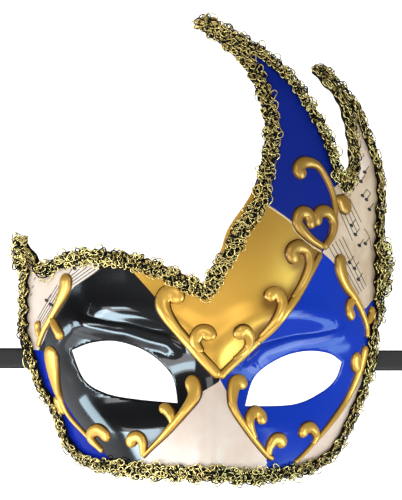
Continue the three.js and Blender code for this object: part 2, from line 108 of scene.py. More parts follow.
# Lines where one colour meets the next, and the fields that they close. A minus before a line's
# name runs it backwards, and bare points, most past the shell's edge, close a field. The rest is cream.
BORDERS = {
    "temple": [(-46.4, -8.5), (-51.1, -12.1), (-59.6, -18.2), (-62, -21.9), (-65.9, -27),
               (-69.8, -33.6), (-72.8, -41.1), (-75.9, -46.9)],
    "cheek_left": [(-71.8, -47.7), (-68.5, -52.2), (-67.7, -59.8), (-65.4, -66.4), (-61.7, -73.3),
                   (-55.9, -80.9), (-50.1, -88), (-44.4, -93.3), (-41.6, -97.8)],
    "nose_left": [(-27.1, -95.1), (-2, -66.6), (0.2, -64.3), (7.5, -59.9), (8.4, -58.1)],
    "gold_left": [(8.4, -58.1), (2, -50.9), (-5.7, -41.9), (-14.3, -31.5), (-18.8, -23.8),
                  (-29.9, -11.1), (-34.8, -5.7)],
    "gold_right": [(8.4, -58.1), (13.4, -51.9), (19.3, -47), (26.6, -40.2), (34.4, -35),
                   (42.6, -22.1), (47.3, -15.6), (51.5, -8.6), (55.8, -1.1)],
    "gold_top": [(55.8, -1.1), (49.2, 3), (42.7, 9.4), (40.9, 13), (29.8, 20.7), (23.4, 28.9)],
    "horn_cream": [(55.8, -1.1), (61.1, 6.7), (62.5, 14.5), (61.6, 24.2), (60.2, 27.4), (67, 33.1)],
    "cream_right": [(55.8, -1.1), (62, -7.1), (66.9, -16), (70.8, -22.1), (76.3, -27.3),
                    (80.5, -23.7), (86.7, -21)],
    "cheek_right": [(78, -48), (76.4, -47.4), (73.6, -57.2), (68.4, -69.3), (60.1, -81),
                    (48.7, -93.4), (42.1, -99.5)],
    "nose_right": [(8.4, -58.1), (11.5, -64), (14.7, -70.4), (19.2, -79.5), (24.8, -87), (29.9, -95.1)],
}
FIELDS = {
    "black": ["temple", "cheek_left", (-40, -115), (-27, -115), "nose_left", "gold_left", (-36, 10),
              (-44, 10)],
    "gold": ["-gold_left", "gold_right", "gold_top", (12, 40), (-10, 0), (-30, 8)],
    "blue_horn": ["-gold_top", "horn_cream", (64, 45), (57, 62), (47, 82), (30, 105), (0, 125),
                  (-30, 110), (10, 60), (15, 35)],
    "blue_eye": ["gold_right", "cream_right", (95, -25), (95, -48), "cheek_right", (40, -115),
                 (30, -115), "-nose_right"],
    "parchment": ["horn_cream", (75, 33), (95, 70), (70, 110), (62, 100), (95, 40), (95, -25),
                  "-cream_right"],
    "blue_cheek": ["-cheek_left", (-75.9, -46.9), (-95, -46), (-95, -100), (-50, -120)],
}
# The plan's points: their spacing on and between lines, how clear of a line they keep, and when two are one
PLAN_SPACING = Sizes(line=0.7, fill=0.95, clear=0.5, merge=1e-4)

# The gold relief: the points that each stroke sweeps through, and its width at the root, half way
# and at the rounded tip
Stroke = namedtuple("Stroke", "path root waist tip")
SCROLLS = {
    "scroll_temple_left": [
        Stroke([(-62.4, -10.8), (-62.6, -17.4), (-66.3, -26.1), (-72.7, -36.9), (-76, -45)], 7.2, 3.4, 2.6),
        Stroke([(-69.6, -31), (-66.4, -36.8), (-64, -41.2)], 2.8, 4.2, 5),
        Stroke([(-74.8, -41.8), (-75.8, -37.5), (-75.8, -33)], 2.4, 3.4, 4.2),
    ],
    "scroll_cheek_left": [
        Stroke([(-69.2, -44.8), (-69.2, -52), (-66.8, -65), (-61.8, -76.4), (-52.6, -86), (-45.4, -92.6)],
               8.6, 2.7, 1.8),
        Stroke([(-63.4, -76.4), (-65.8, -72.6), (-67.6, -68.2)], 3, 5.8, 5.6),
        Stroke([(-45, -93), (-50.4, -87.6), (-50.4, -84.4), (-47.2, -82.8), (-44, -84.8), (-42.8, -88)],
               2.6, 4.8, 5.6),
    ],
    "scroll_nose_left": [
        Stroke([(-26.6, -94.4), (-15.2, -82.2), (-6.5, -71.6), (-2.9, -65.4), (-3.7, -60.8),
                (-6.4, -58.4)], 1.5, 3.6, 6.6),
        Stroke([(-12.6, -79.4), (-13.6, -74.6), (-16.2, -72), (-18.2, -73.8)], 3, 4.6, 5.2),
        Stroke([(-26.4, -94), (-26.4, -87.6), (-28.8, -85), (-31.6, -86.8), (-30.8, -90)], 3, 4.6, 5.4),
    ],
    "scroll_nose_right": [
        Stroke([(18.8, -63.4), (17.9, -60), (15.4, -60.6), (14.1, -66), (14.9, -72), (21.1, -81.8),
                (29.3, -92.6), (33, -95.4)], 6.2, 3, 2),
        Stroke([(24.6, -86), (22.4, -80.4), (22, -76), (24.6, -73.6), (27.2, -75.8), (26.8, -79.2)],
               3, 4.6, 5.8),
        Stroke([(30.6, -94), (31.2, -89.6), (33.6, -86.4), (36.5, -87), (36.2, -90.6)], 3.2, 4.8, 5.8),
    ],
    "scroll_cheek_right": [
        Stroke([(42.8, -97.8), (48.4, -92.9), (59.8, -80.5), (68.2, -69), (73.8, -56), (76.6, -44.6)],
               1.8, 3, 4.2),
        Stroke([(51.4, -90), (53.2, -85.6), (50.6, -81.7), (47.3, -82.7), (46.6, -86.2)], 2.8, 4.4, 5.4),
        Stroke([(73.6, -57.6), (72.1, -52.8), (72, -47.6)], 2.8, 6, 5),
    ],
    "scroll_temple_right": [
        Stroke([(64.8, -2), (64.4, -8.1), (66.9, -16), (70.8, -21.6), (74.3, -27.7), (77.2, -35.3),
                (77.6, -41)], 6.8, 3.8, 2.8),
        Stroke([(72.2, -22.8), (68.8, -25), (68.6, -28.8), (70.6, -31.4)], 2.6, 4.4, 5.2),
        Stroke([(77, -35), (79.4, -30.8), (79.8, -26.4)], 2.6, 4.4, 4.6),
    ],
    "scroll_heart": [
        Stroke([(56.3, 1.2), (49.2, 5.9), (44.2, 12), (45.2, 16.8), (48.6, 16.8), (50.2, 13.6),
                (49.4, 10)], 3, 4.8, 5.4),
        Stroke([(56.1, 0.8), (60.1, 6.7), (61, 13.1), (58.2, 17.4), (54.6, 17.4), (53.2, 14.4),
                (54.8, 12)], 3, 4.6, 5.6),
        Stroke([(61.2, 11.6), (61.8, 19.2), (59.8, 28.8), (54, 38.4), (47.4, 40.2), (44.6, 36.8),
                (47.8, 33.8)], 2.8, 2.8, 5.6),
        Stroke([(62, 24.2), (66, 21.2), (68.6, 17.4)], 3.8, 8, 6.4),
    ],
    "scroll_bridge": [
        Stroke([(55, -1.6), (49.9, -11), (42.9, -22.4), (33.4, -35), (25.6, -41.8)], 2.6, 3.2, 3),
        Stroke([(41.9, -22.4), (47, -13.6), (49.6, -6.4), (48.4, -0.4), (44.3, 1.5), (41.5, -1.2),
                (44, -5.4)], 2.6, 4.1, 6.6),
        Stroke([(26.6, -39.6), (34.4, -31), (37, -24.6), (35, -20), (31.9, -20.2), (31.6, -23.4)],
               2.6, 4.2, 5.8),
        Stroke([(8.4, -57.4), (-3.8, -44.1), (-14.3, -31.4), (-17.4, -24), (-15.2, -19.7),
                (-11.7, -20.4), (-10.8, -24.4)], 4, 4.3, 7),
        Stroke([(0.2, -46.8), (-2.7, -41.6), (-0.6, -37.3), (2.9, -37.3), (4.6, -41)], 3.6, 5.2, 6.2),
        Stroke([(8.4, -57.8), (14, -52.1), (26.8, -41)], 3.2, 3.6, 3),
        Stroke([(14.6, -50.4), (21, -44.4), (21.8, -39.2), (18.7, -36.9), (16.6, -40.4)], 2.8, 4.3, 6.2),
    ],
}
RELIEF = Sizes(fullness=1.12, rise=0.42, lowest=1.1, tallest=1.95, skirt=0.4, sunk=0.3, seat=0.1,
               blunt=0.04, step=0.5, arc=13)
# The shares of a stroke's length at which it leaves its root's width and has its waist's and tip's
TAPER = Sizes(root=0.08, waist=0.5, tip=0.95)
# The shares of a stroke's height between which the brown painted shade at its foot, where it meets the
# face, clears
CREST = Sizes(brown=0.05, clear=0.55)

# The braid hangs over the edge, but below the foot's height it stays inside and clear of it. Its cords
# stand further off where the face is steep.
BRAID = Sizes(width=9.3, pitch=8.8, scallop=0.21, overhang=1.5, step=0.8, columns=11, foot=6, clear=0.6,
              stand_off=0.8)
BRAID_TIP = Sizes(width=5, spread=0.36)
# Where the braid is narrower: along the tall horn's outer side, and by the short horn's outer side
NARROW_HORN = Sizes(share=0.68, widens=15)
NARROW_RIM = Sizes(share=0.6, start=14, full=26, fading=66, gone=76)
# Where the braid lies further in by the horns, and further out at the cheeks
HORN_INSET = Sizes(depth=2.3, start=-8, full=4, fading=24, gone=34, left=6, right=9)
CHEEK_OUTSET = Sizes(left=3.2, right=1.6, start=-52, full=-66, fading=-92, gone=-102)

# The braid's loose turns at the foot of the mask: the line that each lies along, half its width, and
# its height at the outer and inner side
Tuft = namedtuple("Tuft", "line half outer inner")
TUFTS = [
    Tuft([(-83.4, 6.4), (-84.6, 0), (-83.8, -9)], 4.2, 2.6, 9.5),
    Tuft([(85, 3), (86, -9), (84.2, -22)], 3.2, 2.4, 8),
]

# The rings of each thread in a repeat of the braid: where a ring's middle lies along the repeat, and
# across the band from the outer edge at -1 to the inner edge at 1, its radius and its height
Ring = namedtuple("Ring", "along across radius lift")
RINGS = {
    "gold": [
        Ring(0, -0.55, 2.1, 2), Ring(0.03, -0.5, 0.95, 1.6), Ring(0.33, -0.48, 1.35, 1.5),
        Ring(0.68, -0.5, 1.3, 1.5), Ring(0.12, 0.15, 1.5, 1.7), Ring(0.4, 0.62, 1.4, 1.5),
        Ring(0.63, 0.4, 1.4, 1.6), Ring(0.9, 0.62, 1.3, 1.5), Ring(0.2, -0.66, 1, 1.4),
        Ring(0.52, -0.1, 1.6, 1.9), Ring(0.8, -0.1, 1.3, 1.9), Ring(0.22, 0.52, 1.2, 1.7),
    ],
    "black": [
        Ring(0.16, -0.55, 1.3, 1.4), Ring(0.5, -0.4, 1.5, 1.7), Ring(0.85, -0.52, 1.2, 1.4),
        Ring(0.27, 0.02, 1.5, 1.9), Ring(0.78, 0, 1.4, 1.9), Ring(0.5, 0.2, 1.3, 1.4),
        Ring(0.28, 0.5, 1.2, 1.3), Ring(0.76, 0.5, 1.2, 1.3), Ring(0.99, 0.4, 1.1, 1.4),
    ],
}
# The cords that run along the braid: where each lies across the band, how far it swings, how often in
# a repeat, where it starts and how high it lies
Wave = namedtuple("Wave", "across swing turns shift lift")
WAVES = {
    "gold": [Wave(-0.1, 2.6, 1, 0, 1.3), Wave(0.2, 2.2, 2, 0.3, 1)],
    "black": [Wave(-0.15, 3, 1, 0.5, 1.2), Wave(0.1, 2.4, 2, 0.1, 0.9)],
}
# The threads' radii and the cords' form. The margin is the share of its radius that a ring's middle keeps
# from the band's edge, and the wander is how much longer a waving cord is than its strip.
THREADS = {"gold": 0.27, "black": 0.3}
CORD = Sizes(step=0.5, corners=5, turns=1.3, lean=0.35, margin=0.85, wander=1.6, dips=1.5)
# How unsteady a ring is: its size, oval and corners as shares of its radius, and its place
UNSTEADY = Sizes(size=0.25, oval=0.22, corners=0.12, along=0.45, across=0.3, lift=0.45)
# The section of the strip under the cords: shares of half the width, and heights
BACKING = [(-0.66, -0.2), (-0.66, 0.35), (-0.4, 0.7), (0, 0.8), (0.3, 0.7), (0.52, 0.35), (0.52, -0.2)]

# The brown painted shade on the gold panel, which darkens it beside the relief and towards its top: how far
# it spreads from the relief, how strong it is by strokes to the right, on the shaded side, and to the left
# of a middle line, and how much of it lies over the panel's top
PANEL_SHADE = Sizes(spread=2.6, right=0.75, left=0.2, middle=24, top=0.3, top_from=-25, top_full=15, step=1)
# How much painted shade, darkening the strokes nearest the horns, lies over them, and between which heights
# it grows
STROKE_SHADE = Sizes(most=0.46, start=-24, full=0)

# The printed music: staves between a first and a last line, note heads and the way that their stems
# point, and short strokes. Then the pale line between the gold and the horn.
Stave = namedtuple("Stave", "first last lines")
STAVES = [
    Stave([(-58.6, -17.2), (-45.5, -8.5)], [(-60.1, -12.2), (-54.4, -7.6)], 5),
    Stave([(-73.3, -35.1), (-63, -18.7)], [(-76.3, -32), (-66.4, -16)], 5),
    Stave([(58.7, 1.6), (72.3, -21.6)], [(65.4, 6.2), (77.4, -17.1)], 5),
    Stave([(63.5, 19.2), (70.3, 4.4)], [(68.9, 23.9), (74.8, 12.8)], 5),
]
NOTES = [(-61.5, -11.7), (-58.2, -8.5), (-69.8, -25.3), (-71.8, -23.5), (-68.3, -25.7), (69.8, 11.4),
         (71.8, 7.2), (73.8, 2.1), (76.8, 3), (75.4, 25.4), (77.4, 23.6), (78.9, 19), (71.3, -8.6),
         (73.3, -13.7), (68.8, -5.8), (74.6, 32), (76.6, 36.4)]
STEM = (2.2, 3)
STROKES = [
    [(76.3, 10), (78.9, 5.9), (79.9, -0.2)],
    [(-78.3, -13.8), (-77.3, -12.8)],
    [(-79.4, -17.9), (-78.3, -16.6)],
    [(-80, -21.4), (-79, -20)],
    [(77.6, 28.4), (79.6, 26.6)],
]
PALE_BORDER = [(29.8, 20.7), (40.9, 13), (42.7, 9.4), (49.2, 3), (55.3, -0.7)]
MARK = Sizes(line=0.36, stem=0.42, pale=0.9, head=(1.05, 0.75), lift=0.08, sunk=0.15, step=0.8,
             corners=12)

# The ties, repeated from the part: how far out, the height of the left and right tie, and the lean
Spot = namedtuple("Spot", "out left right lean")
TIE_ROUTE = [
    Spot(67.2, 23.6, 21.6, 0.42), Spot(68.5, 21.5, 20.1, 0.43), Spot(70.5, 18.5, 17.7, 0.43),
    Spot(72.2, 15.6, 15.3, 0.44), Spot(73.8, 12.7, 12.7, 0.45), Spot(75.2, 10, 10.2, 0.45),
    Spot(76.4, 7.4, 7.8, 0.46), Spot(77.5, 5, 5.4, 0.44), Spot(78.6, 3, 3.3, 0.27),
    Spot(79.9, 1.5, 1.6, 0.1), Spot(81.6, 0.9, 0.95, 0.03), Spot(84, 0.8, 0.8, 0.01),
    Spot(88, 0.8, 0.8, 0), Spot(94, 0.8, 0.8, 0), Spot(100, 0.8, 0.8, 0),
    Spot(107, 0.8, 0.8, 0), Spot(114.5, 0.8, 0.8, 0),
]
# The side that each tie is on, and how far up the mask it lies
TIES = {"ribbon_left": (-1, -51.1), "ribbon_right": (1, -52.2)}
TIE_WIDTH = 9.6
TIE_THICKNESS = 0.6
TIE_EDGE = Sizes(thinning=0.6, sharpness=6)
TIE_STEP = 1.5
TIE_COLUMNS = 9

# The noise in the cream paints, and the values between which one colour turns to the other
MOTTLE = Sizes(detail=4, start=0.35, full=0.6)

# The room's light: the direction of each glow, and the angles' cosines between which it grows
Glow = namedtuple("Glow", "towards start full strength")
GLOWS = [
    Glow((0, -0.5, 0.87), 0, 0.95, 0.48),
    Glow((-0.81, -0.47, -0.35), 0.78, 0.97, 1.3),
]
GLOW_EVERYWHERE = 0.12
SKY_COLOUR = (0.92, 0.95, 1, 1)
# The lamps and windows: bearing from +X and height in degrees, size, energy, colour, and whether
# they only shine in the lacquer
Lamp = namedtuple("Lamp", "name bearing height size energy colour gloss_only")
LAMPS = [
    Lamp("window_left_low", -147, 19, (960, 180), 11, (0.68, 0.88, 1), True),
    Lamp("window_left_high", -170, 34, (240, 380), 3.8, (0.6, 0.84, 1), True),
    Lamp("strip_left", -170, 0.8, (480, 290), 5.4, (0.66, 0.88, 1), True),
    Lamp("wall_left", -138, 6, (600, 440), 1.5, (0.88, 0.95, 1), True),
    Lamp("window_right", -17, 31, (760, 420), 6, (0.5, 0.85, 1), True),
    Lamp("wall_right", -34, 9, (440, 900), 6, (0.5, 0.85, 1), True),
    Lamp("panel_high", 75, 66, (520, 460), 2.4, (1, 0.99, 0.95), False),
    Lamp("overhead", -95, 62, (900, 700), 6.6, (1, 1, 1), False),
    Lamp("fill_left", -165, 30, (600, 600), 5, (1, 1, 1), False),
    Lamp("fill_right", -25, 25, (500, 600), 3, (1, 1, 1), False),
]
LAMP_DISTANCE = 1400
LAMP_TARGET = (0, -30, 30)
FLOOR_REACH = 2500

# Camera: straight down on the middle of the mask, with the picture's height at the table
CAMERA_HEIGHT = 1500
FRAME_HEIGHT = 236.3


# Curves


def across_each(values):
    """What lies between the values after and before each one, with the ends repeated."""
    return np.concatenate([values[1:], values[-1:]]) - np.concatenate([values[:1], values[:-1]])


def curve_span(start, end, leave, arrive, t):
    cubic = 2 * start - 2 * end + leave + arrive
    square = -3 * start + 3 * end - 2 * leave - arrive
    return cubic * t**3 + square * t**2 + leave * t + start


def smooth_line(points, per_span=40):
    """The part's own kind of curve through a row of points, as many short steps."""
    knots = np.array(points, float)
    slopes = across_each(knots) / 2
    t = np.linspace(0, 1, per_span, endpoint=False)[:, None]
    ends = zip(knots[:-1], knots[1:], slopes[:-1], slopes[1:])
    return np.vstack([*[curve_span(*pair, t) for pair in ends], knots[-1:]])


def travelled(line):
    """How far along a line each of its points lies."""
    steps = np.linalg.norm(np.diff(line, axis=0), axis=1)
    return np.concatenate([[0], np.cumsum(steps)])


def evenly(points, spacing):
    """The smooth curve through the points, with its points about that far apart."""
    fine = smooth_line(points)
    distance = travelled(fine)
    count = max(2, round(distance[-1] / spacing))
    at = np.linspace(0, distance[-1], count + 1)
    return np.column_stack([np.interp(at, distance, column) for column in fine.T])


def plan_line(points):
    return evenly(points, PLAN_SPACING.line)


def unit(vectors):
    return vectors / np.linalg.norm(vectors, axis=1)[:, None]


def right_of(line):
    """The directions to the right of a flat line."""
    run = np.gradient(line, axis=0)
    return unit(np.column_stack([run[:, 1], -run[:, 0]]))


def ease(start, end, value):
    t = np.clip((value - start) / (end - start), 0, 1)
    return t * t * (3 - 2 * t)


def beside(plan, line):
    """How far each point lies from a line, plus to its right, and how far along the line that is."""
    x, y = plan.T.copy()
    nearest = np.full(len(plan), np.inf)
    side = np.zeros(len(plan))
    along = np.zeros(len(plan))
    for start, end, passed in zip(line[:-1], line[1:], travelled(line)):
        run = end - start
        from_x = x - start[0]
        from_y = y - start[1]
        t = np.clip((from_x * run[0] + from_y * run[1]) / (run @ run), 0, 1)
        gap = np.hypot(from_x - t * run[0], from_y - t * run[1])
        closer = gap < nearest
        nearest = np.where(closer, gap, nearest)
        side = np.where(closer, np.sign(from_x * run[1] - from_y * run[0]), side)
        along = np.where(closer, passed + t * math.hypot(*run), along)
    return nearest * side, along


def inside(plan, outline):
    """Which points lie within a closed outline."""
    x, y = plan.T.copy()
    within = np.zeros(len(plan), bool)
    for start, end in zip(outline, np.roll(outline, -1, axis=0)):
        if start[1] == end[1]:
            continue
        spans = (start[1] > y) != (end[1] > y)
        crossing = start[0] + (y - start[1]) * (end[0] - start[0]) / (end[1] - start[1])
        within ^= spans & (x < crossing)
    return within


# The moulded face


def section_at(column, y):
    """A column of the sections as a smooth curve up the face."""
    heights = np.array([section.y for section in SECTIONS], float)
    values = np.array([getattr(section, column) for section in SECTIONS], float)
    slopes = across_each(values) / across_each(heights)
    held = np.clip(y, heights[0], heights[-1])
    row = np.clip(np.searchsorted(heights, held) - 1, 0, len(heights) - 2)
    span = heights[row + 1] - heights[row]
    t = (held - heights[row]) / span
    return curve_span(values[row], values[row + 1], slopes[row] * span, slopes[row + 1] * span, t)


def side_curve(share):
    fall = 1 - np.abs(SIDE.reach * share) ** SIDE.roundness
    return np.maximum(fall, SIDE.least) ** SIDE.fullness


def socket_height(x, y, centre):
    across = (x - centre[0]) / SOCKET.half_width
    along = (y - centre[1]) / SOCKET.half_height
    ring = np.hypot(across, along)
    upper = ease(BROW_RIDGE.start, BROW_RIDGE.full, along / np.maximum(ring, 1e-6))
    ridge = np.exp(-(((ring - BROW_RIDGE.ring) / BROW_RIDGE.width) ** 2))
    return BROW_RIDGE.height * upper * ridge - SOCKET.depth * (1 - ease(SOCKET.flat, 1, ring))


def nose_height(x, y):
    grown = ease(NOSE.top, NOSE.bottom, y)
    across = (x - NOSE.x) / (NOSE.half_width + NOSE.flare * grown)
    return NOSE.height * grown * np.exp(-(across**2))


CREASE_LINES = [evenly(points, CREASE_STEP) for points in CREASES]
HOLE_LINES = [np.vstack([plan_line(lid)[:-1] for lid in lids]) for lids in EYE_HOLES]
CLOSED_HOLES = [np.vstack([line, line[:1]]) for line in HOLE_LINES]


def lid_height(plan, line):
    """The brow rolled in to the fold over an eye, and the lid swelling below the fold."""
    below, along = beside(plan, line)
    from_end = np.minimum(along, travelled(line)[-1] - along)
    spread = np.where(below < 0, CREASE.brow, CREASE.lid)
    fold = CREASE.depth * np.exp(-((below / spread) ** 2))
    swell = CREASE.swell * np.sin(math.pi * np.clip(below / CREASE.lid_width, 0, 1)) ** 2
    return (swell - fold) * ease(0, CREASE.fade, from_end)


def rounding_depth(plan, hole):
    """How far the face drops at the rounded edge of an eye hole."""
    from_edge = np.clip(np.abs(beside(plan, hole)[0]), 0, HOLE_ROUNDING)
    return HOLE_ROUNDING - np.sqrt(HOLE_ROUNDING**2 - (HOLE_ROUNDING - from_edge) ** 2)


def face_height(plan):
    x, y = plan.T.copy()
    foot = np.where(x < 0, section_at("left", y), section_at("right", y))
    side = (side_curve(x / foot) - side_curve(1)) / (1 - side_curve(1))
    height = section_at("crown", y) * side + nose_height(x, y)
    height += sum(socket_height(x, y, centre) for centre in SOCKET_CENTRES)
    height += sum(lid_height(plan, line) for line in CREASE_LINES)
    return height - sum(rounding_depth(plan, hole) for hole in CLOSED_HOLES)


def face_normals(plan):
    step = 0.05
    along_x = face_height(plan + [step, 0]) - face_height(plan - [step, 0])
    along_y = face_height(plan + [0, step]) - face_height(plan - [0, step])
    return unit(np.column_stack([-along_x, -along_y, np.full(len(plan), 2 * step)]))


def on_face(plan):
    """The points of the face over a plan, and their normals."""
    return np.column_stack([plan, face_height(plan)]), face_normals(plan)


# Materials


def linear(screen):
    """A screen colour as the shader takes it."""
    shares = np.array(screen) / 255
    return (*np.where(shares <= 0.04045, shares / 12.92, ((shares + 0.055) / 1.055) ** 2.4), 1)


def set_sockets(node, **sockets):
    for socket, value in sockets.items():
        node.inputs[socket.replace("_", " ")].default_value = value


def material(name, colour, **sockets):
    made = bpy.data.materials.new(name)
    made.use_nodes = True
    set_sockets(made.node_tree.nodes["Principled BSDF"], Base_Color=linear(colour), **sockets)
    return made


def blended(made, value, low, high, start=0, full=1):
    """Colours a material from low to high as a node's value grows from start to full."""
    tree = made.node_tree
    ramp = tree.nodes.new("ShaderNodeValToRGB")
    for stop, place, colour in zip(ramp.color_ramp.elements, (start, full), (low, high)):
        stop.position = place
        stop.color = linear(colour)
    tree.links.new(value, ramp.inputs["Fac"])
    tree.links.new(ramp.outputs["Color"], tree.nodes["Principled BSDF"].inputs["Base Color"])
    return made


def mottled(name, colour, other, scale, **sockets):
    """Paint that goes over into another colour by a soft noise over the object."""
    made = material(name, colour, **sockets)
    tree = made.node_tree
    place = tree.nodes.new("ShaderNodeTexCoord")
    noise = tree.nodes.new("ShaderNodeTexNoise")
    set_sockets(noise, Scale=scale, Detail=MOTTLE.detail)
    tree.links.new(place.outputs["Object"], noise.inputs["Vector"])
    return blended(made, noise.outputs["Fac"], other, colour, MOTTLE.start, MOTTLE.full)


def with_painted_shade(name, colour, painted_shade, **sockets):
    """Paint that goes over into a brown painted shade where the mesh's painted shade attribute is low."""
    made = material(name, colour, **sockets)
    attribute = made.node_tree.nodes.new("ShaderNodeAttribute")
    attribute.attribute_name = "painted_shade"
    return blended(made, attribute.outputs["Fac"], painted_shade, colour)


PAINTS = {
    "cream": mottled("paint_cream", (249, 233, 217), (238, 217, 198), 60, Roughness=0.35),
    "parchment": mottled("paint_parchment", (226, 206, 178), (210, 186, 152), 90, Roughness=0.45),
    "black": material("paint_black", (11, 11, 13), Roughness=0.1, IOR=1.5),
    # The gold panel goes over into brown painted shade beside the relief and towards its top
    "gold": with_painted_shade("paint_gold", (230, 176, 68), (128, 76, 28), Metallic=0.55, Roughness=0.34),
    # The horn's blue is a darker copy of the eye's blue, painted shade for the horn that leans away from
    # the light
    "blue_horn": material("paint_blue_horn", (12, 38, 140), Roughness=0.25, IOR=1.3),
    "blue_eye": material("paint_blue_eye", (15, 58, 188), Roughness=0.13, IOR=1.4),
    "blue_cheek": material("paint_blue_cheek", (13, 42, 168), Roughness=0.14, IOR=1.12),
    # The inside's grey is painted shade: the underside is lit through the floor, which casts no shadow, so
    # its paint is darkened
    "inside": material("shell_inside", (172, 166, 156), Roughness=0.6),
}
# The relief's gold goes over into brown painted shade at each stroke's foot and on the strokes nearest the
# horns
RELIEF_GOLD = with_painted_shade("relief_gold", (232, 180, 78), (86, 50, 16), Metallic=0.45, Roughness=0.32)
THREAD_GOLD = material("thread_gold", (230, 206, 130), Metallic=0.8, Roughness=0.24)
THREAD_BLACK = material("thread_black", (12, 9, 5), Roughness=0.6, IOR=1.2)
BRAID_BACKING = material("braid_backing", (16, 12, 6), Roughness=0.8, IOR=1.35)
SATIN = material("ribbon_satin", (19, 16, 17), Roughness=0.42, Sheen_Weight=0.1)
INK = material("note_ink", (38, 32, 30), Roughness=0.5)
PALE_LINE = material("pale_line", (226, 206, 158), Roughness=0.4)


# Meshes


def new_object(name, data):
    made = bpy.data.objects.new(name, data)
    bpy.context.scene.collection.objects.link(made)
    return made


def new_piece(name, points, faces, materials, slot_numbers=None):
    mesh = bpy.data.meshes.new(name)
    mesh.from_pydata((np.asarray(points) * MM).tolist(), [], faces)
    for made in materials:
        mesh.materials.append(made)
    if slot_numbers is not None:
        mesh.polygons.foreach_set("material_index", slot_numbers)
    mesh.polygons.foreach_set("use_smooth", [True] * len(mesh.polygons))
    mesh.update()
    return new_object(name, mesh)


def settle(piece, slot, *nodes):
    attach(piece, BODY)
    if nodes:
        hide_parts(*nodes)


# Stores how clear of painted shade each point is, which the paint darkens by
def set_painted_shade(piece, clear):
    painted_shade = piece.data.attributes.new("painted_shade", "FLOAT", "POINT")
    painted_shade.data.foreach_set("value", clear)


def sweep(rings):
    """Points and faces of a closed body through rings that all have the same number of corners."""
    count, corners = rings.shape[:2]
    order = np.arange(count * corners).reshape(count, corners)
    following = np.roll(order, -1, axis=1)
    sides = np.stack([order[:-1], following[:-1], following[1:], order[1:]], axis=-1)
    faces = sides.reshape(-1, 4).tolist()
    faces.append(order[0][::-1].tolist())
    faces.append(order[-1].tolist())
    return rings.reshape(-1, 3), faces


def gathered(bodies):
    """Several bodies as one list of points and faces."""
    points = []
    faces = []
    start = 0
    for body_points, body_faces in bodies:
        points.append(body_points)
        faces.extend([[corner + start for corner in face] for face in body_faces])
        start += len(body_points)
    return np.vstack(points), faces


# The shell


def clamp_to_foot(plan):
    left = section_at("left", plan[:, 1])
    right = section_at("right", plan[:, 1])
    return np.column_stack([np.clip(plan[:, 0], left, right), plan[:, 1]])


def field_outline(parts):
    lines = []
    for part in parts:
        if isinstance(part, tuple):
            lines.append(np.array([part], float))
        else:
            border = plan_line(BORDERS[part.removeprefix("-")])
            lines.append(border[::-1] if part.startswith("-") else border)
    return np.vstack(lines)


def on_shell(plan, outline):
    """Which points lie within the shell's edge and outside its eye holes."""
    in_holes = [inside(plan, hole) for hole in HOLE_LINES]
    return inside(plan, outline) & ~np.any(in_holes, axis=0)


def fill_points(outline, taken):
    """An even field of points over the plan, clear of the lines that are already there."""
    spacing = PLAN_SPACING.fill
    low = outline.min(axis=0)
    high = outline.max(axis=0)
    rows = np.arange(low[1], high[1], spacing * math.sqrt(3) / 2)
    spots = []
    for number, y in enumerate(rows):
        x = np.arange(low[0] + (number % 2) * spacing / 2, high[0], spacing)
        spots.append(np.column_stack([x, np.full(len(x), y)]))
    spots = np.vstack(spots)
    spots = spots[on_shell(spots, outline)]
    tree = kdtree.KDTree(len(taken))
    for number, (x, y) in enumerate(taken):
        tree.insert((x, y, 0), number)
    tree.balance()
    clear = [tree.find((x, y, 0))[2] > PLAN_SPACING.clear for x, y in spots]
    return spots[clear]


def shell_plan():
    """The flat plan as triangles that follow the edge, the eye holes and the colour borders."""
    outline = clamp_to_foot(np.vstack([plan_line(points)[:-1] for points in EDGE.values()]))
    lines = []
    edges = []
    start = 0
    for loop in [outline, *HOLE_LINES]:
        lines.append(loop)
        edges += [(start + step, start + (step + 1) % len(loop)) for step in range(len(loop))]
        start += len(loop)
    for points in BORDERS.values():
        border = plan_line(points)
        lines.append(border)
        edges += [(start + step, start + step + 1) for step in range(len(border) - 1)]
        start += len(border)
    for hole in HOLE_LINES:
        outward = unit(hole - hole.mean(axis=0))
        lines += [hole + outward * HOLE_ROUNDING * share for share in HOLE_ROWS]
    for points in CREASES:
        crease = plan_line(points)
        right = right_of(crease)
        lines += [crease + right * offset for offset in CREASE_ROWS]
    taken = np.vstack(lines)
    points = np.vstack([taken, fill_points(outline, taken)])
    made = delaunay_2d_cdt([Vector(point) for point in points], edges, [], 0, PLAN_SPACING.merge)
    plan = np.array([tuple(point) for point in made[0]])
    triangles = np.array([face for face in made[2] if len(face) == 3])
    middles = plan[triangles].mean(axis=1)
    keep = on_shell(middles, outline)
    return plan, triangles[keep], middles[keep]


def paint_numbers(middles):
    names = list(PAINTS)
    numbers = np.full(len(middles), names.index("cream"))
    for name, parts in FIELDS.items():
        numbers[inside(middles, field_outline(parts))] = names.index(name)
    return numbers


def panel_painted_shade(plan):
    """How clear of painted shade the gold panel is at each point, darker beside the strokes and towards the
    top.
    """
    brown = np.zeros(len(plan))
    for stroke in SCROLLS["scroll_bridge"]:
        line = evenly(stroke.path, PANEL_SHADE.step)
        strength = PANEL_SHADE.right if line[:, 0].mean() > PANEL_SHADE.middle else PANEL_SHADE.left
        from_edge = np.maximum(np.abs(beside(plan, line)[0]) - stroke.waist / 2, 0)
        brown = np.maximum(brown, strength * np.exp(-((from_edge / PANEL_SHADE.spread) ** 2)))
    return (1 - brown) * (1 - PANEL_SHADE.top * ease(PANEL_SHADE.top_from, PANEL_SHADE.top_full, plan[:, 1]))


